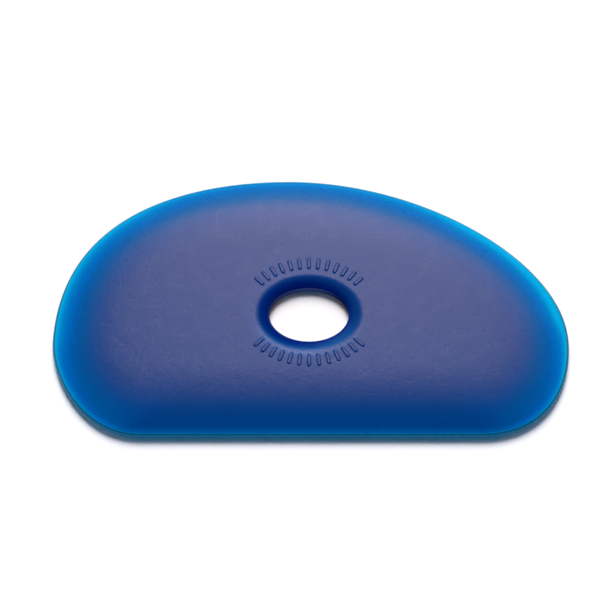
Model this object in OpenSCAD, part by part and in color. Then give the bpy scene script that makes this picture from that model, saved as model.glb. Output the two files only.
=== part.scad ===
// A pottery rib: one flexible moulding with a flat back, a rounded working edge all round,
// a long taper up to a thicker grip area, and a dished oval finger hole.
// The origin is the middle of the flat back. The straight working edge faces -Y.

/* [Outline] */
// Length of the rib from end to end
rib_length = 140; // [130:1:160]
// Depth of the rib from the straight edge to the crown
rib_depth = 78.5; // [70:0.5:90]
// Run of each lower corner, from the end of the rib to the straight edge
corner_run = 25; // [23:1:30]
// Height of the widest line above the straight edge
waist_height = 28; // [24:0.5:32]
// Sideways offset of the crown, to the left of the middle
crown_offset = 6; // [0:1:12]

/* [Section] */
// Thickness of the grip area
grip_thickness = 4; // [3.4:0.1:5]
// Thickness of the working edge, which is a full round
edge_thickness = 2.5; // [1.6:0.1:2.8]
// Width of the taper, from the working edge to the grip area
taper_width = 21; // [18:0.5:22]
// How much of the taper's rise lies near the edge: 1 would be a straight bevel
taper_curve = 2.3; // [2:0.1:3]

/* [Finger hole] */
// Length of the oval hole
hole_length = 21.7; // [18:0.1:25]
// Depth of the oval hole
hole_depth = 16.4; // [14:0.1:18]
// Height of the hole's middle above the straight edge
hole_height = 35.9; // [34:0.1:38]
// Sideways offset of the hole, to the left of the middle
hole_offset = 0.45; // [0:0.05:3]
// Thickness of the lip round the hole
lip_thickness = 2.2; // [1.4:0.1:2.8]
// Radius that rounds the lip's upper and lower edges
lip_round = 0.25; // [0.2:0.05:0.55]
// Width of the dish that runs down to the lip
dish_width = 4.5; // [4:0.1:6]
// How far the dish's outer rim is moved towards the straight edge, against the hole
dish_offset = 0.95; // [0:0.05:1.2]
// How much of the dish's drop lies near the lip: 1 would be a straight bevel
dish_curve = 2.3; // [2:0.1:4]

/* [Grip marks] */
// Number of raised marks in each of the two arcs
mark_count = 13; // [5:2:15]
// Pitch of the marks along the arc, in degrees of the oval
mark_pitch = 8.5; // [7:0.5:9]
// Length of one mark, outward from the hole
mark_length = 3.4; // [2.5:0.1:4.5]
// Width of one mark
mark_width = 1.1; // [0.6:0.05:1.3]
// Height of the marks above the grip area
mark_height = 0.2; // [0.15:0.05:0.5]
// Distance from the hole to the inner ends of the marks
mark_start = 4.9; // [4.7:0.1:6.5]

/* [Hidden] */
$fn = 48;
blue = [0.01, 0.24, 0.55];

half_length = rib_length / 2;
half_depth = rib_depth / 2;
hole_middle = [-hole_offset, hole_height - half_depth];

// Steps along each quarter of the outline, and rings round the edge, the taper, the lip and the dish
quarter_steps = 20;
edge_rings = 8;
taper_rings = 10;
lip_rings = 3;
dish_rings = 10;
oval_steps = 72;
overcut = 1;

// How full each quarter of the outline is: the reach of its curve along X, then along Y
near_right_reach = [0.63, 0.58];
far_right_reach = [0.50, 0.49];
far_left_reach = [0.50, 0.75];
near_left_reach = [0.63, 0.38];

// Cubic curve through four control points
function cubic(a, b, c, d, t) =
    pow(1 - t, 3) * a + 3 * pow(1 - t, 2) * t * b + 3 * (1 - t) * t * t * c + t * t * t * d;

// One quarter of the outline, from a point where it runs along X to one where it runs along Y
function quarter(along_x, along_y, reach, steps) =
    [for (i = [0:steps - 1])
        cubic(
            along_x,
            along_x + [reach.x * (along_y.x - along_x.x), 0],
            along_y + [0, reach.y * (along_x.y - along_y.y)],
            along_y,
            i / steps
        )];

// The same quarter, walked the other way
function quarter_back(along_y, along_x, reach, steps) =
    [for (i = [0:steps - 1])
        cubic(
            along_y,
            along_y + [0, reach.y * (along_x.y - along_y.y)],
            along_x + [reach.x * (along_y.x - along_x.x), 0],
            along_x,
            i / steps
        )];

// The rib's outline, counter-clockwise, drawn in by an inset at every side
function outline(inset) =
    let (
        x_end = half_length - inset,
        y_end = half_depth - inset,
        y_waist = waist_height - half_depth,
        straight_right = [half_length - corner_run, -y_end],
        straight_left = [corner_run - half_length, -y_end],
        right = [x_end, y_waist],
        crown = [-crown_offset, y_end],
        left = [-x_end, y_waist]
    )
    concat(
        quarter(straight_right, right, near_right_reach, quarter_steps),
        quarter_back(right, crown, far_right_reach, quarter_steps),
        quarter(crown, left, far_left_reach, quarter_steps),
        quarter_back(left, straight_left, near_left_reach, quarter_steps),
        [straight_left]
    );

// An oval larger than the finger hole by a margin, and moved towards the straight edge by a shift
function oval(margin, shift) =
    [for (i = [0:oval_steps - 1])
        let (angle = 360 * i / oval_steps)
        hole_middle + [
            (hole_length / 2 + margin) * cos(angle),
            (hole_depth / 2 + margin) * sin(angle) - shift
        ]];

function at_height(points, z) = [for (p = points) [p.x, p.y, z]];

// Rings of the rounded edge, from the flat back up to the foot of the taper
function edge_profile() =
    let (r = edge_thickness / 2)
    [for (i = [0:edge_rings])
        let (angle = -90 + 180 * i / edge_rings)
        [r - r * cos(angle), r + r * sin(angle)]];

// Rings of the taper, steepest at the edge and level where it meets the grip area
function taper_profile() =
    let (start = edge_thickness / 2, rise = grip_thickness - edge_thickness)
    [for (i = [1:taper_rings])
        let (u = i / taper_rings)
        [start + (taper_width - start) * u, edge_thickness + rise * (1 - pow(1 - u, taper_curve))]];

// Slope of the dish where it meets the lip, as an angle from the wall of the hole
dish_drop = grip_thickness - lip_thickness;
lip_turn = atan2(dish_width, dish_curve * dish_drop);
lip_top_run = lip_round * (1 - cos(lip_turn));

// Rings round the lip's lower edge, from the flat back up to the wall of the hole
function lower_lip_profile() =
    [for (i = [0:lip_rings])
        let (angle = 90 * i / lip_rings)
        [lip_round * (1 - sin(angle)), lip_round * (1 - cos(angle))]];

// Rings round the lip's upper edge, from the wall of the hole up to the foot of the dish
function upper_lip_profile() =
    let (centre_height = lip_thickness - lip_round * sin(lip_turn))
    [for (i = [0:lip_rings - 1])
        let (angle = lip_turn * i / lip_rings)
        [lip_round * (1 - cos(angle)), centre_height + lip_round * sin(angle)]];

// Rings of the dish, steepest at the lip and level where it meets the grip area
function dish_profile() =
    [for (i = [0:dish_rings])
        let (u = i / dish_rings)
        [lip_top_run + (dish_width - lip_top_run) * u, grip_thickness - dish_drop * pow(1 - u, dish_curve)]];

// A closed solid through rings of equally many points, lowest ring first
module loft(rings) {
    n = len(rings[0]);
    last = len(rings) - 1;
    polyhedron(
        points = [for (ring = rings) each ring],
        faces = concat(
            [[for (i = [0:n - 1]) i]],
            [[for (i = [n - 1:-1:0]) last * n + i]],
            [for (r = [0:last - 1], i = [0:n - 1])
                let (a = r * n + i, b = r * n + (i + 1) % n)
                each [[a, a + n, b], [b, a + n, b + n]]]
        )
    );
}

module blank() {
    profile = concat(edge_profile(), taper_profile());
    loft([for (step = profile) at_height(outline(step[0]), step[1])]);
}

// The space over the dish and through the hole
module finger_hole() {
    lip = concat([[lip_round, -overcut]], lower_lip_profile(), upper_lip_profile());
    dish = concat(dish_profile(), [[dish_width, grip_thickness + overcut]]);
    loft(concat(
        [for (step = lip) at_height(oval(step[0], 0), step[1])],
        [for (step = dish) at_height(oval(step[0], dish_offset * step[0] / dish_width), step[1])]
    ));
}

// One raised mark with round ends, lying along X and sunk into the body by an overcut
module mark() {
    straight = mark_length - mark_width;
    translate([0, 0, grip_thickness - overcut])
        linear_extrude(overcut + mark_height)
            union() {
                square([straight, mark_width], center = true);
                translate([straight / 2, 0]) circle(d = mark_width);
                translate([-straight / 2, 0]) circle(d = mark_width);
            }
}

// Two arcs of marks, beyond and before the hole, each mark square to the oval it stands on
module grip_marks() {
    a = hole_length / 2 + mark_start + mark_length / 2;
    b = hole_depth / 2 + mark_start + mark_length / 2;
    for (side = [90, 270], i = [0:mark_count - 1]) {
        angle = side + mark_pitch * (i - (mark_count - 1) / 2);
        translate(hole_middle + [a * cos(angle), b * sin(angle)])
            rotate(atan2(a * sin(angle), b * cos(angle)))
                mark();
    }
}

module rib_body() {
    color(blue)
    union() {
        difference() {
            blank();
            finger_hole();
        }
        grip_marks();
    }
}

rib_body();
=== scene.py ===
from collections import namedtuple
import math

import bpy
import numpy as np
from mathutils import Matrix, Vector


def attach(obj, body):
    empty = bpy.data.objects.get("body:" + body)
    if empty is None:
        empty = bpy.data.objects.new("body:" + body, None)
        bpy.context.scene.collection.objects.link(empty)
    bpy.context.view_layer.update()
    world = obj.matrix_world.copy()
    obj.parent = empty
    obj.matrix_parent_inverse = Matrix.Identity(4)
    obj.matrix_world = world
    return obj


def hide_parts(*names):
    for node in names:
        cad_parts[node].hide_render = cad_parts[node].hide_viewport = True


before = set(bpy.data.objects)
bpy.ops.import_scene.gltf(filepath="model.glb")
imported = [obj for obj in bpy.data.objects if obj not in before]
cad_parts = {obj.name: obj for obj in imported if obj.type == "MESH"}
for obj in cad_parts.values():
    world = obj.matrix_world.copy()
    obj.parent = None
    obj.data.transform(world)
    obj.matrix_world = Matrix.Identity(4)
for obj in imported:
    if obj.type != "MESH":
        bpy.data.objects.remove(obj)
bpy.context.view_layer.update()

# The sizes below are the construction's own, in millimetres. This turns them into metres.
MM = 0.001

# Outline of the rib, seen from the front face.
RIB_LENGTH = 140.0
RIB_DEPTH = 78.5
CORNER_RUN = 25.0
WAIST_HEIGHT = 28.0
CROWN_OFFSET = 6.0

# How far the two handles of each quarter of the outline reach, as shares of the quarter's size.
NEAR_RIGHT = (0.63, 0.58)
FAR_RIGHT = (0.50, 0.49)
FAR_LEFT = (0.50, 0.75)
NEAR_LEFT = (0.63, 0.38)

# Thickness of the body.
GRIP_THICKNESS = 4.0
EDGE_THICKNESS = 2.5
TAPER_WIDTH = 21.0
TAPER_CURVE = 2.3

# Finger hole, its lip and the dish round it.
HOLE_LENGTH = 21.7
HOLE_DEPTH = 16.4
HOLE_HEIGHT = 35.9
HOLE_OFFSET = 0.45
LIP_THICKNESS = 2.2
LIP_ROUND = 0.25
DISH_WIDTH = 4.5
DISH_CURVE = 2.3
DISH_OFFSET = 0.95

# Low grip marks on the two arcs beside the hole. The sides are the directions of the arcs' middles, in
# degrees, and the fillet is how wide the slope up to a mark is.
MARK_SIDES = (90, 270)
MARK_COUNT = 13
MARK_PITCH = 8.5
MARK_LENGTH = 3.4
MARK_WIDTH = 1.1
MARK_HEIGHT = 0.2
MARK_START = 4.9
MARK_FILLET = 0.22

# Values worked out from those above.
HALF_LENGTH = RIB_LENGTH / 2
HALF_DEPTH = RIB_DEPTH / 2
EDGE_ROUND = EDGE_THICKNESS / 2
HOLE_MIDDLE = (-HOLE_OFFSET, HOLE_HEIGHT - HALF_DEPTH)
DISH_DROP = GRIP_THICKNESS - LIP_THICKNESS
LIP_TURN = math.atan2(DISH_WIDTH, DISH_CURVE * DISH_DROP)
LIP_TOP_RUN = LIP_ROUND * (1 - math.cos(LIP_TURN))

# Spokes of the mesh round the hole. They are closer together through the far and the near arc of marks,
# and the far arc's sector is given in degrees.
MARK_SECTOR = (28.0, 152.0)
MARK_SPOKES = 372
SIDE_SPOKES = 56

# Rings of the mesh across each band, from the back's edge round to the hole's wall.
EDGE_RINGS = 18
TAPER_RINGS = 22
GRIP_RINGS = 8
MARK_RINGS = 32
DISH_RINGS = 15
LIP_RINGS = 4
WALL_RINGS = 1

# The flat back has one ring for this many of the front's.
BACK_STRIDE = 8

# Room beyond the marks, distance from the hole at which their rings begin, and inset at which the
# outline's own rings end.
MARKS_ROOM = 1.0
MARKS_END = MARK_START + MARK_LENGTH + MARKS_ROOM
EVEN_INSET = 16.0

# Points in a quarter of the outline or of an oval, and insets at which the taper is looked up.
QUARTER_STEPS = 300
TAPER_STEPS = 64


def spoke_angles():
    """Angles of the spokes, from the right end of the far arc of marks all the way round."""
    first, last = MARK_SECTOR
    far = np.linspace(first, last, MARK_SPOKES, endpoint=False)
    left = np.linspace(last, first + 180, SIDE_SPOKES, endpoint=False)
    return np.radians(np.concatenate([far, left, far + 180, left + 180]))


ANGLES = spoke_angles()
SPOKES = len(ANGLES)

# One ring of the mesh. Each field holds a value in millimetres for every spoke: the distance from the
# hole's middle, the height, the depth of the colour, which carries painted light and shade, and the depth
# of the shine, which carries painted shade on the reflections.
Ring = namedtuple("Ring", "reach height color_depth shine_depth")


def on_spokes(value):
    """This value, or these values, with one for every spoke."""
    return np.zeros(SPOKES) + value


def share_towards(angle, start, gain):
    """A share from 0 to 1: start on the spokes across this direction in degrees, and gain more along it."""
    return np.clip(start + gain * np.cos(ANGLES - math.radians(angle)), 0, 1)


def quarter(*corners):
    """Points of one cubic quarter of the outline, from its start, two handles and end, without the end."""
    t = np.linspace(0, 1, QUARTER_STEPS, endpoint=False)[:, None]
    weights = [(1 - t) ** 3, 3 * t * (1 - t) ** 2, 3 * t**2 * (1 - t), t**3]
    return sum(weight * np.array(corner) for weight, corner in zip(weights, corners))


def handles(along_x, along_y, reach):
    """The handles of a quarter, from where the curve runs along X and from where it runs along Y."""
    return (
        (along_x[0] + reach[0] * (along_y[0] - along_x[0]), along_x[1]),
        (along_y[0], along_y[1] + reach[1] * (along_x[1] - along_y[1])),
    )


def outline(inset):
    """The closed outline, drawn in from the rib's edge by inset."""
    x_end = HALF_LENGTH - inset
    y_end = HALF_DEPTH - inset
    y_waist = WAIST_HEIGHT - HALF_DEPTH
    straight_right = (HALF_LENGTH - CORNER_RUN, -y_end)
    straight_left = (CORNER_RUN - HALF_LENGTH, -y_end)
    right = (x_end, y_waist)
    left = (-x_end, y_waist)
    crown = (-CROWN_OFFSET, y_end)
    near_right = handles(straight_right, right, NEAR_RIGHT)
    far_right = handles(crown, right, FAR_RIGHT)
    far_left = handles(crown, left, FAR_LEFT)
    near_left = handles(straight_left, left, NEAR_LEFT)
    return np.concatenate([
        quarter(straight_right, *near_right, right),
        quarter(right, *far_right[::-1], crown),
        quarter(crown, *far_left, left),
        quarter(left, *near_left[::-1], straight_left),
        np.linspace(straight_left, straight_right, QUARTER_STEPS, endpoint=False),
    ])


def reach_along_spokes(away):
    """Distance along each spoke to a closed line, whose points are given from the hole's middle."""
    turn = np.arctan2(away[:, 1], away[:, 0])
    order = np.argsort(turn)
    distance = np.hypot(away[:, 0], away[:, 1])
    return np.interp(ANGLES, turn[order], distance[order], period=2 * math.pi)


def outline_reach(inset):
    """Distance from the hole's middle to the outline along each spoke."""
    return reach_along_spokes(outline(inset) - np.array(HOLE_MIDDLE))


def oval_reach(margin):
    """Distance from the hole's middle to its oval, grown by margin, along each spoke."""
    along = HOLE_LENGTH / 2 + margin
    across = HOLE_DEPTH / 2 + margin
    return along * across / np.hypot(across * np.cos(ANGLES), along * np.sin(ANGLES))


def dish_reach(margin):
    """The same for an oval of the dish, which moves towards the straight edge as it grows."""
    t = np.linspace(0, 2 * math.pi, 4 * QUARTER_STEPS, endpoint=False)
    along = (HOLE_LENGTH / 2 + margin) * np.cos(t)
    across = (HOLE_DEPTH / 2 + margin) * np.sin(t) - DISH_OFFSET * margin / DISH_WIDTH
    return reach_along_spokes(np.stack([along, across], axis=-1))


TAPER_INSETS = np.linspace(EDGE_ROUND, TAPER_WIDTH, TAPER_STEPS)
TAPER_REACHES = np.array([outline_reach(inset) for inset in TAPER_INSETS])


def inset_at(reach):
    """Inset from the rib's edge at these distances along the spokes."""
    return np.array([np.interp(-r, -column, TAPER_INSETS) for r, column in zip(reach, TAPER_REACHES.T)])


def taper_height(inset):
    """Height of the front face at this inset from the rib's edge."""
    u = np.clip((inset - EDGE_ROUND) / (TAPER_WIDTH - EDGE_ROUND), 0, 1)
    return EDGE_THICKNESS + (GRIP_THICKNESS - EDGE_THICKNESS) * (1 - (1 - u) ** TAPER_CURVE)


def smooth_step(x):
    """From 0 to 1 as x goes from 0 to 1, with soft ends."""
    x = np.clip(x, 0, 1)
    return x * x * (3 - 2 * x)


def mark_places():
    """The middle and the direction of each grip mark, from the hole's middle."""
    along = HOLE_LENGTH / 2 + MARK_START + MARK_LENGTH / 2
    across = HOLE_DEPTH / 2 + MARK_START + MARK_LENGTH / 2
    for side in MARK_SIDES:
        for i in range(MARK_COUNT):
            t = math.radians(side + MARK_PITCH * (i - (MARK_COUNT - 1) / 2))
            turn = math.atan2(along * math.sin(t), across * math.cos(t))
            yield along * math.cos(t), across * math.sin(t), turn


def mark_relief(reach):
    """Height of the grip marks above the grip area, at these distances along the spokes."""
    x = reach * np.cos(ANGLES)
    y = reach * np.sin(ANGLES)
    nearest = on_spokes(np.inf)
    half_bar = (MARK_LENGTH - MARK_WIDTH) / 2
    for mark_x, mark_y, turn in mark_places():
        along = (x - mark_x) * math.cos(turn) + (y - mark_y) * math.sin(turn)
        across = (y - mark_y) * math.cos(turn) - (x - mark_x) * math.sin(turn)
        away = np.hypot(np.maximum(np.abs(along) - half_bar, 0), across)
        nearest = np.minimum(nearest, away)
    return MARK_HEIGHT * smooth_step((MARK_WIDTH / 2 - nearest) / MARK_FILLET)


# Depth of the colour, in millimetres of clear rubber: at the top of the rounded edge, and in the grip area.
# It grows from the first to the second over the taper, from this inset on and by this curve.
EDGE_DEPTH = 1.6
GRIP_DEPTH = 3.8
DEPTH_START = 0.8
DEPTH_CURVE = 2.5


def taper_depth(inset):
    """Depth of the colour at this inset from the rib's edge."""
    u = np.clip((inset - DEPTH_START) / (TAPER_WIDTH - DEPTH_START), 0, 1)
    return EDGE_DEPTH + (GRIP_DEPTH - EDGE_DEPTH) * (1 - (1 - u) ** DEPTH_CURVE)


def rim_facing():
    """Outward direction of the rim along each spoke: its share towards +X, and its share towards +Y."""
    reach = outline_reach(0)
    x = reach * np.cos(ANGLES)
    y = reach * np.sin(ANGLES)
    run_x = np.roll(x, -1) - np.roll(x, 1)
    run_y = np.roll(y, -1) - np.roll(y, 1)
    length = np.hypot(run_x, run_y)
    return run_y / length, -run_x / length


FACING_RIGHT, FACING_FAR = rim_facing()

# How much the rim faces right, away from the straight edge, and the straight edge's way, from 0 to 1.
FACES_RIGHT = np.clip(FACING_RIGHT, 0, 1)
FACES_FAR = np.clip(FACING_FAR, 0, 1)
FACES_NEAR = np.clip(-FACING_FAR, 0, 1)

# Painted light of the rim, by the way it faces: -1 is the straight edge's way, 0 an end's and 1 the
# crown's.
# The colour is painted paler where the rim faces the lamps behind and beside the rib, and darkest where it
# faces the straight edge's way, away from them, as painted shade.
PAINTED_LIGHT_BY_FACING = (
    (-1.0, 0.12),
    (-0.97, 0.2),
    (-0.9, 0.38),
    (-0.75, 0.56),
    (-0.35, 0.8),
    (0.0, 1.0),
    (0.85, 1.0),
    (1.0, 0.77),
)
# How much more painted light the rim gets where it faces both right and away from the straight edge, and
# how steeply this extra sets in as the rim turns away from it.
FAR_RIGHT_PAINTED_LIGHT = 0.2
FAR_RIGHT_STEEPNESS = 4.0


def painted_rim_light():
    """How much painted light the rim gives the colour along each spoke, about 0 to 1."""
    extra = FAR_RIGHT_PAINTED_LIGHT * FACES_RIGHT * np.clip(FAR_RIGHT_STEEPNESS * FACING_FAR, 0, 1)
    return np.interp(FACING_FAR, *zip(*PAINTED_LIGHT_BY_FACING)) * (1 + extra)


PAINTED_RIM_LIGHT = painted_rim_light()

# In the rounded edge the painted shade of the dim sides is weaker: its painted light is the body's to this
# power, which rises to 1 at this inset.
EDGE_LIGHT_POWER = 0.5
EDGE_LIGHT_END = 2.4


def painted_light_at(inset):
    """The painted light of the colour, at this inset."""
    u = smooth_step((inset - EDGE_ROUND) / (EDGE_LIGHT_END - EDGE_ROUND))
    return PAINTED_RIM_LIGHT ** (EDGE_LIGHT_POWER + (1 - EDGE_LIGHT_POWER) * u)


# How much deeper the shine is than the colour where the rim faces the crown's way or the straight edge's.
# This paints shade on the reflections by the way the rim faces: at the ends they stay tinted blue and dim
# further in from the rim.
FAR_SHINE_SHIFT = 0.38
NEAR_SHINE_SHIFT = 0.15
SHINE_SHIFT = FAR_SHINE_SHIFT * FACES_FAR + NEAR_SHINE_SHIFT * FACES_NEAR


def body_ring(reach, height, depth, light):
    """One ring of the body, whose colour the rim's painted light makes paler than the grip area's."""
    color_depth = GRIP_DEPTH - (GRIP_DEPTH - depth) * light
    # The shine's depth carries the painted shade on the reflections, by the way the rim faces.
    shine_depth = np.minimum(depth + SHINE_SHIFT, GRIP_DEPTH)
    return Ring(reach, on_spokes(height), on_spokes(color_depth), shine_depth)


# Depth of colour round the hole, by the distance from it in millimetres: painted light on the shoulder and
# painted shade deep in the dish. The side towards the straight edge, which faces the lamps behind, is given
# the paler painted light, and all of it lies a little to the left.
FAR_SHOULDER = (
    (0.0, 4.8),
    (1.0, 4.7),
    (2.4, 3.95),
    (3.2, 3.82),
    (3.9, 3.66),
    (4.6, 3.7),
    (5.6, 3.8),
)
NEAR_SHOULDER = (
    (0.4, 4.95),
    (1.0, 4.7),
    (1.5, 4.2),
    (2.1, 3.5),
    (3.1, 3.2),
    (3.8, 3.45),
    (4.8, 3.65),
    (5.6, 3.8),
)
NEAR_SHARE = share_towards(270, 0.0, 1.5)
SHIFT_TO_LEFT = 0.8


def shoulder_depths(margin):
    """Painted depth of the colour and of the shine along each spoke, at this distance from the hole."""
    margin = margin + SHIFT_TO_LEFT * np.cos(ANGLES)
    far = np.interp(margin, *zip(*FAR_SHOULDER))
    near = np.interp(margin, *zip(*NEAR_SHOULDER))
    return far + (near - far) * NEAR_SHARE, far


# Painted highlight on the lip: its wall is painted paler on the far side and the left, and its top on the
# left, over this width.
WALL_PAINTED_HIGHLIGHT = share_towards(115, 0.15, 1.3)
LIP_PAINTED_HIGHLIGHT = share_towards(180, -0.2, 1.2)
LIP_HIGHLIGHT_WIDTH = 0.8

# Depths that stand for the paler colours of the lip's and the wall's painted highlight.
LIP_HIGHLIGHT_DEPTH = 5.3
WALL_HIGHLIGHT_DEPTH = 5.7


def hole_ring(reach, height, margin):
    """One ring of the dish or of the lip's top, at this distance from the hole, with its painted highlight.
    """
    color_depth, shine_depth = shoulder_depths(margin)
    painted_highlight = LIP_PAINTED_HIGHLIGHT * np.clip(1 - margin / LIP_HIGHLIGHT_WIDTH, 0, 1)
    return Ring(reach, on_spokes(height), color_depth + (LIP_HIGHLIGHT_DEPTH - color_depth) * painted_highlight, shine_depth)


def wall_ring(reach, height):
    """One ring of the hole's wall or of the lip's underside, with the wall's painted highlight."""
    lip = hole_ring(reach, height, 0)
    return lip._replace(color_depth=lip.color_depth + (WALL_HIGHLIGHT_DEPTH - lip.color_depth) * WALL_PAINTED_HIGHLIGHT)


def taper_rings():
    """Rings from the top of the rounded edge in, which follow the outline."""
    rings = []
    for inset in np.linspace(EDGE_ROUND, EVEN_INSET, TAPER_RINGS + 1):
        reach = outline_reach(inset)
        # The colour gets the rim's painted light, which rises to its full share over the first insets.
        rings.append(body_ring(reach, taper_height(inset), taper_depth(inset), painted_light_at(inset)))
    return rings


def surface_ring(reach):
    """One ring of the front face inside the outline's own rings, at these distances along the spokes."""
    inset = inset_at(reach)
    # The colour gets the rim's painted light along each spoke.
    return body_ring(reach, taper_height(inset), taper_depth(inset), PAINTED_RIM_LIGHT)


def grip_rings():
    """Rings from those that follow the outline in to those of the marks."""
    outer = outline_reach(EVEN_INSET)
    inner = oval_reach(MARKS_END)
    return [surface_ring(outer + (inner - outer) * u) for u in np.linspace(0, 1, GRIP_RINGS + 1)[1:]]


def mark_rings():
    """Rings through the marks, in to the dish's outer end."""
    rings = []
    outer = oval_reach(MARKS_END)
    inner = dish_reach(DISH_WIDTH)
    for u in np.linspace(0, 1, MARK_RINGS + 1)[1:]:
        reach = outer + (inner - outer) * u
        surface = surface_ring(reach)
        shoulder, _ = shoulder_depths(MARKS_END + (DISH_WIDTH - MARKS_END) * u)
        rings.append(surface._replace(
            height=surface.height + mark_relief(reach),
            # The shoulder's painted light is taken where it is paler than the surface's colour.
            color_depth=np.minimum(surface.color_depth, shoulder),
        ))
    return rings


def dish_rings():
    """Rings of the dish, in to where the lip's rounding begins."""
    rings = []
    for u in np.linspace(0, 1, DISH_RINGS + 1)[1:]:
        margin = DISH_WIDTH + (LIP_TOP_RUN - DISH_WIDTH) * u
        reach = dish_reach(margin)
        height = GRIP_THICKNESS - DISH_DROP * u**DISH_CURVE + mark_relief(reach)
        rings.append(hole_ring(reach, height, margin))
    return rings


def hole_rings():
    """Rings of the hole's upper lip, wall and lower lip, from the dish down to the back."""
    rings = []
    shoulder = LIP_THICKNESS - LIP_ROUND * math.sin(LIP_TURN)
    for a in np.linspace(LIP_TURN, 0, LIP_RINGS + 1)[1:-1]:
        reach = oval_reach(LIP_ROUND * (1 - math.cos(a)))
        rings.append(hole_ring(reach, shoulder + LIP_ROUND * math.sin(a), 0))
    for height in np.linspace(shoulder, LIP_ROUND, WALL_RINGS + 1):
        rings.append(wall_ring(oval_reach(0), height))
    for a in np.radians(np.linspace(90, 0, LIP_RINGS + 1))[1:]:
        reach = oval_reach(LIP_ROUND * (1 - math.sin(a)))
        rings.append(wall_ring(reach, LIP_ROUND * (1 - math.cos(a))))
    return rings


# Depth of colour round the rounded edge, by the way it faces in degrees: up from its dark outermost line,
# which is painted shade on the side of the edge.
ROUND_DEPTHS = (
    (-90, 1.6),
    (-40, 0.9),
    (50, 0.9),
    (60, 1.1),
    (70, 1.5),
    (90, EDGE_DEPTH),
)
# Above this angle the edge's colour also follows the rim's painted light.
DARK_LINE_END = 62
# How much painted shade the rounded edge gets where it faces away from the straight edge.
FAR_EDGE_PAINTED_SHADE = 0.2
# Depth of the shine on the lower half of the rounded edge, which paints shade over its reflection of the
# floor by tinting it blue.
LOWER_SHINE_DEPTH = 2.0


def edge_rings():
    """Rings of the rounded edge, from the back up to the front face."""
    rings = []
    # The top of the edge gets the rim's painted light, with painted shade where it faces the crown's way.
    upper_painted_light = painted_light_at(0) * (1 - FAR_EDGE_PAINTED_SHADE * FACES_FAR**2)
    for angle in np.linspace(-90, 90, EDGE_RINGS + 1)[1:-1]:
        a = math.radians(angle)
        reach = outline_reach(EDGE_ROUND * (1 - math.cos(a)))
        depth = np.interp(angle, *zip(*ROUND_DEPTHS))
        light = 1.0 if angle < DARK_LINE_END else upper_painted_light
        edge = body_ring(reach, EDGE_ROUND * (1 + math.sin(a)), depth, light)
        if angle <= 0:
            edge = edge._replace(shine_depth=on_spokes(LOWER_SHINE_DEPTH))
        rings.append(edge)
    return rings


def back_rings(front):
    """Rings of the flat back, from the hole out to the edge, below every few rings of the front."""
    return [above._replace(height=on_spokes(0)) for above in front[::BACK_STRIDE][::-1]]


def mesh_from_rings(name, rings):
    """A closed mesh whose section is the loop of rings, with both of their depths as attributes."""
    reach = np.array([ring.reach for ring in rings])
    height = np.array([ring.height for ring in rings])
    x = HOLE_MIDDLE[0] + reach * np.cos(ANGLES)
    y = HOLE_MIDDLE[1] + reach * np.sin(ANGLES)
    points = np.stack([x, y, height], axis=-1).reshape(-1, 3) * MM
    k, j = np.meshgrid(np.arange(len(rings)), np.arange(SPOKES), indexing="ij")
    next_k = (k + 1) % len(rings)
    next_j = (j + 1) % SPOKES
    corners = [k * SPOKES + j, k * SPOKES + next_j, next_k * SPOKES + next_j, next_k * SPOKES + j]
    faces = np.stack(corners, axis=-1).reshape(-1, 4)
    mesh = bpy.data.meshes.new(name)
    mesh.from_pydata(points.tolist(), [], faces.tolist())
    mesh.shade_smooth()
    for field in ("color_depth", "shine_depth"):
        values = np.array([getattr(ring, field) for ring in rings])
        attribute = mesh.attributes.new(field, "FLOAT", "POINT")
        attribute.data.foreach_set("value", values.ravel().astype(np.float32))
    mesh.update()
    return mesh


def make_rib():
    """The whole moulding, as one piece."""
    front = taper_rings() + grip_rings() + mark_rings() + dish_rings()
    mesh = mesh_from_rings("rib_moulding", back_rings(front) + edge_rings() + front + hole_rings())
    rib = bpy.data.objects.new("rib_moulding", mesh)
    bpy.context.scene.collection.objects.link(rib)
    return rib


# Colour of the cast rubber by its depth in millimetres: dark in the outermost line as painted shade, pale
# and clear at the rim, deep in the grip area, deepest in the dish as painted shade, and paler again in the
# lip and the wall as painted highlight. The depths given to it also carry the rim's painted light.
DEPTH_COLORS = (
    (0.8, (0.0, 0.120, 0.190)),
    (1.15, (0.0, 0.170, 0.290)),
    (1.4, (0.0, 0.380, 0.700)),
    (1.62, (0.0, 0.400, 0.740)),
    (1.79, (0.0, 0.320, 0.660)),
    (1.91, (0.0, 0.250, 0.585)),
    (2.15, (0.0, 0.178, 0.515)),
    (2.37, (0.0, 0.140, 0.485)),
    (2.75, (0.0, 0.100, 0.370)),
    (3.07, (0.0, 0.082, 0.295)),
    (3.32, (0.0, 0.069, 0.265)),
    (3.51, (0.0, 0.053, 0.240)),
    (3.66, (0.0, 0.046, 0.212)),
    (3.8, (0.0, 0.040, 0.190)),
    (4.2, (0.0, 0.026, 0.185)),
    (4.7, (0.0, 0.018, 0.170)),
    (4.95, (0.0, 0.013, 0.135)),
    (5.3, (0.03, 0.05, 0.17)),
    (5.7, (0.09, 0.085, 0.23)),
)
# Tint of its real reflections by the same depth: at the clear rim and in the dish the white reflections
# are tinted blue and dim, as painted shade.
SHINE_COLORS = (
    (1.6, (0.15, 0.65, 1.0)),
    (1.8, (0.0, 0.55, 1.0)),
    (2.4, (0.0, 0.55, 1.0)),
    (2.75, (0.08, 0.65, 1.0)),
    (3.1, (0.24, 0.75, 1.0)),
    (3.3, (0.5, 0.85, 1.0)),
    (3.43, (0.75, 0.93, 1.0)),
    (3.65, (1.0, 1.0, 1.0)),
    (3.85, (1.0, 1.0, 1.0)),
    (4.1, (0.35, 0.7, 1.0)),
    (4.4, (0.0, 0.5, 0.9)),
    (4.7, (0.0, 0.15, 0.5)),
)
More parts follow.
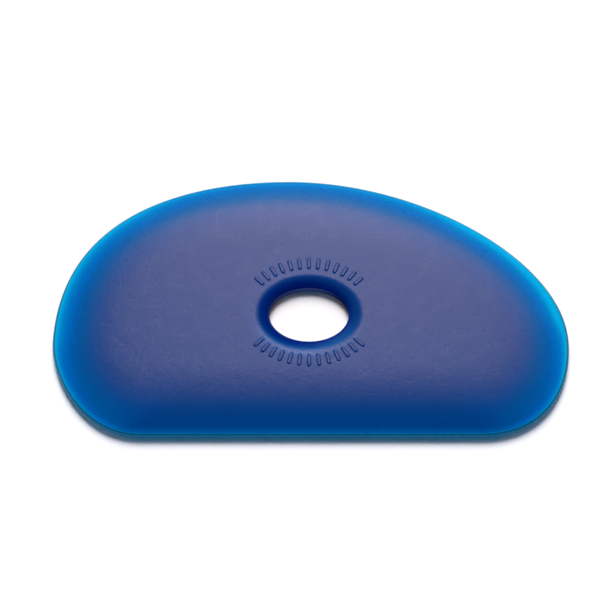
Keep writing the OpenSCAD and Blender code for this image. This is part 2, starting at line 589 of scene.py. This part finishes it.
# Depth at the top end of both colour ramps.
RAMP_DEPTH = 6.0

# Noises of the rubber's surface: the scale, the detail and the roughness of each.
GRAIN_NOISE = (1400.0, 2.0, 0.6)
SWELL_NOISE = (260.0, 2.0, 0.5)
MOTTLE_NOISE = (1100.0, 3.0, 0.6)

# Heights of grain and swell in metres, and how much the mottle varies the colour.
GRAIN_HEIGHT = 0.00003
SWELL_HEIGHT = 0.00003
MOTTLE = 0.25

# Roughness and reflection of the rubber.
ROUGHNESS = 0.28
ROUGHNESS_SPREAD = 0.06
REFRACTION = 1.5
SPECULAR = 0.5

# Depth at which the shine has faded out in the dish, and over how much of it the shine fades: painted
# shade that takes the reflections out of the dish.
DISH_SHINE_END = 4.75
DISH_SHINE_FADE = 0.6


class Nodes:
    """Short calls for building a material's nodes."""

    def __init__(self, tree):
        self.tree = tree
        tree.nodes.clear()

    def add(self, kind, **inputs):
        node = self.tree.nodes.new(kind)
        for name, value in inputs.items():
            self.put(node, name.replace("_", " "), value)
        return node

    def put(self, node, name, value):
        """Link a socket to the input with this name or place, or set the input to a constant."""
        socket = node.inputs[name]
        if isinstance(value, bpy.types.NodeSocket):
            self.tree.links.new(value, socket)
        else:
            socket.default_value = value

    def math(self, operation, a, b, clamp=False):
        node = self.tree.nodes.new("ShaderNodeMath")
        node.operation = operation
        node.use_clamp = clamp
        self.put(node, 0, a)
        self.put(node, 1, b)
        return node.outputs[0]

    def ramp(self, factor, stops):
        node = self.add("ShaderNodeValToRGB", Fac=factor)
        elements = node.color_ramp.elements
        while len(elements) < len(stops):
            elements.new(1.0)
        for element, (position, color) in zip(elements, stops):
            element.position = position
            element.color = (*color, 1.0)
        return node.outputs["Color"]

    def depth(self, name):
        """An attribute of the mesh that holds a depth in millimetres."""
        node = self.tree.nodes.new("ShaderNodeAttribute")
        node.attribute_name = name
        return node.outputs["Fac"]

    def depth_ramp(self, name, stops):
        """Colours by such an attribute."""
        share = self.math("DIVIDE", self.depth(name), RAMP_DEPTH)
        return self.ramp(share, [(depth / RAMP_DEPTH, color) for depth, color in stops])

    def noise(self, where, scale, detail, roughness):
        node = self.add("ShaderNodeTexNoise", Vector=where, Scale=scale, Detail=detail, Roughness=roughness)
        return node.outputs["Fac"]

    def surface(self, kind, shader):
        """The output of this kind, with the shader as its surface."""
        self.add(kind, Surface=shader.outputs[0])


def rubber_surface(n, where):
    """The roughness and the bump of the rubber: fine grain of the mould over a slow unevenness."""
    grain = n.noise(where, *GRAIN_NOISE)
    swell = n.noise(where, *SWELL_NOISE)
    height = n.math("ADD", n.math("MULTIPLY", grain, GRAIN_HEIGHT), n.math("MULTIPLY", swell, SWELL_HEIGHT))
    bump = n.add("ShaderNodeBump", Height=height, Distance=1.0, Strength=1.0)
    spread = n.math("MULTIPLY", swell, ROUGHNESS_SPREAD)
    roughness = n.math("ADD", ROUGHNESS - ROUGHNESS_SPREAD / 2, spread)
    return roughness, bump.outputs["Normal"]


def mottled_color(n, where):
    """The rubber's colour by its depth and painted light and shade, varied a little by a fine mottle."""
    spread = n.math("MULTIPLY", n.noise(where, *MOTTLE_NOISE), MOTTLE)
    mottled = n.tree.nodes.new("ShaderNodeVectorMath")
    mottled.operation = "SCALE"
    n.put(mottled, "Vector", n.depth_ramp("color_depth", DEPTH_COLORS))
    n.put(mottled, "Scale", n.math("ADD", 1 - MOTTLE / 2, spread))
    return mottled.outputs["Vector"]


def shine_level(n):
    """The strength of the shine, faded out in the dish towards the lip as painted shade."""
    left = n.math("SUBTRACT", DISH_SHINE_END, n.depth("shine_depth"))
    return n.math("MULTIPLY", n.math("DIVIDE", left, DISH_SHINE_FADE, clamp=True), SPECULAR)


def rubber_material():
    """Blue cast rubber, clear at the rim and deep inside, with painted light and shade in colour and shine.
    """
    material = bpy.data.materials.new("blue_polyurethane")
    material.use_nodes = True
    n = Nodes(material.node_tree)
    where = n.add("ShaderNodeTexCoord").outputs["Object"]
    roughness, normal = rubber_surface(n, where)
    shader = n.add("ShaderNodeBsdfPrincipled", Roughness=roughness, IOR=REFRACTION, Normal=normal)
    n.put(shader, "Base Color", mottled_color(n, where))
    n.put(shader, "Specular IOR Level", shine_level(n))
    n.put(shader, "Specular Tint", n.depth_ramp("shine_depth", SHINE_COLORS))
    n.surface("ShaderNodeOutputMaterial", shader)
    return material


# Floor: its true colour for light that bounces, and how much paler the camera and reflections see it.
FLOOR_ALBEDO = 0.8
FLOOR_PALER = 0.27
# Side of the floor, and how far it lies under the rib, in metres.
FLOOR_SIZE = 60.0
FLOOR_DROP = 0.00005


def seen_directly(n):
    """1 for camera, glossy and transmission rays, and 0 for the others."""
    path = n.tree.nodes.new("ShaderNodeLightPath")
    seen = n.math("MAXIMUM", path.outputs["Is Camera Ray"], path.outputs["Is Glossy Ray"])
    return n.math("MAXIMUM", seen, path.outputs["Is Transmission Ray"])


def floor_material():
    """A plain pale floor that keeps the shadow and is white where it is lit in full."""
    material = bpy.data.materials.new("studio_floor")
    material.use_nodes = True
    n = Nodes(material.node_tree)
    level = n.math("ADD", n.math("MULTIPLY", seen_directly(n), FLOOR_PALER), FLOOR_ALBEDO)
    color = n.add("ShaderNodeCombineColor", Red=level, Green=level, Blue=level)
    n.surface("ShaderNodeOutputMaterial", n.add("ShaderNodeBsdfDiffuse", Color=color.outputs[0]))
    return material


def make_floor():
    """A square floor just under the rib."""
    half = FLOOR_SIZE / 2
    corners = [(-half, -half), (half, -half), (half, half), (-half, half)]
    mesh = bpy.data.meshes.new("studio_floor")
    mesh.from_pydata([(x, y, -FLOOR_DROP) for x, y in corners], [], [(0, 1, 2, 3)])
    mesh.materials.append(floor_material())
    floor = bpy.data.objects.new("studio_floor", mesh)
    bpy.context.scene.collection.objects.link(floor)


WHITE = (1.0, 1.0, 1.0)

# Studio round the rib: the grey that lights it, and the grey that the camera and reflections see overhead.
WORLD_LIGHT = 0.03
OVERHEAD_LIGHT = 0.03
# The camera and reflections see a white backdrop up to the first of these heights, and overhead above the
# second. A height is the upward share of a direction.
BACKDROP_END = 0.14
OVERHEAD_START = 0.3

# Places of the mix node's factor, two colours and result among its sockets.
MIX_FACTOR, MIX_UNSEEN, MIX_SEEN, MIX_RESULT = 0, 6, 7, 2


def make_world():
    """Dim grey light from all round, with a white backdrop for the camera and reflections."""
    world = bpy.data.worlds.new("studio")
    bpy.context.scene.world = world
    world.use_nodes = True
    n = Nodes(world.node_tree)
    where = n.add("ShaderNodeTexCoord").outputs["Generated"]
    split = n.add("ShaderNodeSeparateXYZ", Vector=where)
    stops = [(BACKDROP_END, WHITE), (OVERHEAD_START, (OVERHEAD_LIGHT,) * 3)]
    mix = n.tree.nodes.new("ShaderNodeMix")
    mix.data_type = "RGBA"
    n.put(mix, MIX_FACTOR, seen_directly(n))
    n.put(mix, MIX_UNSEEN, (WORLD_LIGHT,) * 3 + (1.0,))
    n.put(mix, MIX_SEEN, n.ramp(split.outputs["Z"], stops))
    background = n.add("ShaderNodeBackground", Color=mix.outputs[MIX_RESULT], Strength=1.0)
    n.surface("ShaderNodeOutputWorld", background)


# Far soft lamps. Each has its azimuth, elevation and spread in degrees, the brightness that it gives a
# white floor, its colour, and whether the rib reflects it. Azimuth 0 is in front, 90 is to the right.
SHEEN_COLOR = (1.0, 0.82, 0.92)
GLOW_COLOR = (0.0, 0.52, 1.0)
LAMPS = (
    ("key_lamp", 180, 42, 34, 0.72, WHITE, False),
    ("sheen_lamp", 180, 59, 18, 0.089, SHEEN_COLOR, True),
    ("sheen_low_lamp", 180, 47, 16, 0.047, SHEEN_COLOR, True),
    ("sheen_side_lamp", 155, 55, 20, 0.033, SHEEN_COLOR, True),
    ("left_lamp", 255, 30, 25, 0.035, WHITE, False),
    ("right_lamp", 105, 30, 25, 0.035, WHITE, False),
    ("front_lamp", 0, 8, 16, 0.078, GLOW_COLOR, False),
)


def direction(azimuth, elevation):
    """Unit vector towards a place seen from the rib."""
    a = math.radians(azimuth)
    e = math.radians(elevation)
    return Vector((math.sin(a) * math.cos(e), -math.cos(a) * math.cos(e), math.sin(e)))


def make_lamp(name, azimuth, elevation, spread, level, color, reflected):
    """One of the lamps."""
    lamp = bpy.data.lights.new(name, "SUN")
    lamp.angle = math.radians(spread)
    lamp.color = color
    lamp.energy = level * math.pi / math.sin(math.radians(elevation))
    item = bpy.data.objects.new(name, lamp)
    item.rotation_mode = "QUATERNION"
    item.rotation_quaternion = direction(azimuth, elevation).to_track_quat("Z", "Y")
    item.visible_glossy = reflected
    bpy.context.scene.collection.objects.link(item)


# Camera in front of the rib: angles in degrees, lengths in metres.
CAMERA_ELEVATION = 62.6
CAMERA_TARGET = (-0.00290, 0.00218, 0.0)
CAMERA_DISTANCE = 0.46905
CAMERA_ANGLE = 20.0
CAMERA_CLIP = (0.01, 100.0)


def make_camera():
    """The camera at the photograph's viewing angle."""
    camera = bpy.data.cameras.new("camera")
    camera.angle = math.radians(CAMERA_ANGLE)
    camera.clip_start, camera.clip_end = CAMERA_CLIP
    item = bpy.data.objects.new("camera", camera)
    away = direction(0, CAMERA_ELEVATION)
    item.location = Vector(CAMERA_TARGET) + away * CAMERA_DISTANCE
    item.rotation_mode = "QUATERNION"
    item.rotation_quaternion = away.to_track_quat("Z", "Y")
    bpy.context.scene.collection.objects.link(item)
    bpy.context.scene.camera = item


make_camera()
make_world()
make_floor()
for lamp in LAMPS:
    make_lamp(*lamp)

rib = make_rib()
rib.data.materials.append(rubber_material())
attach(rib, "root")
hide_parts("rib_body")

bpy.context.scene.view_settings.view_transform = "Standard"
